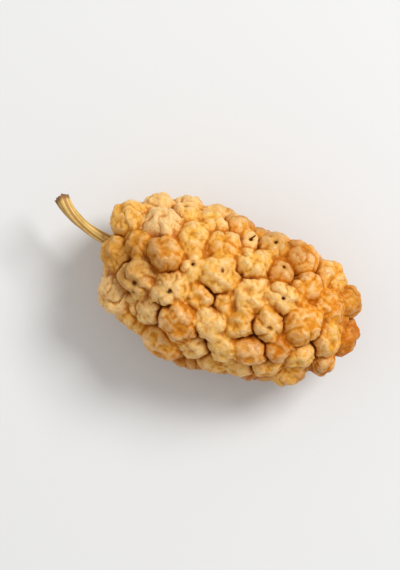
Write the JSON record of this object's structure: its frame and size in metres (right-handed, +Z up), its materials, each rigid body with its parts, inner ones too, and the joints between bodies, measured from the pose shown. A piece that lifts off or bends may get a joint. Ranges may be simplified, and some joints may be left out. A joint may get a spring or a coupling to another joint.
{
  "type": "dried mulberry",
  "caption": "A dried white mulberry lying on its side: small round drupelets packed closely over a blunt oblong fruit, with a short bent stalk at one end.",
  "frame": {"origin": "middle of the bounding box, at the height of the flat underside that the fruit lies on", "axes": "+X runs from the stalk to the fruit's tip, +Z is up, and +Y completes the right-handed frame"},
  "size_m": [0.0232, 0.0116, 0.01],
  "materials": {
    "fruit": "dried, wrinkled, slightly sticky skin",
    "stalk": "dry straw, matt"
  },
  "bodies": {
    "root": {"fruit": "fruit", "stalk": "stalk"}
  },
  "joints": []
}
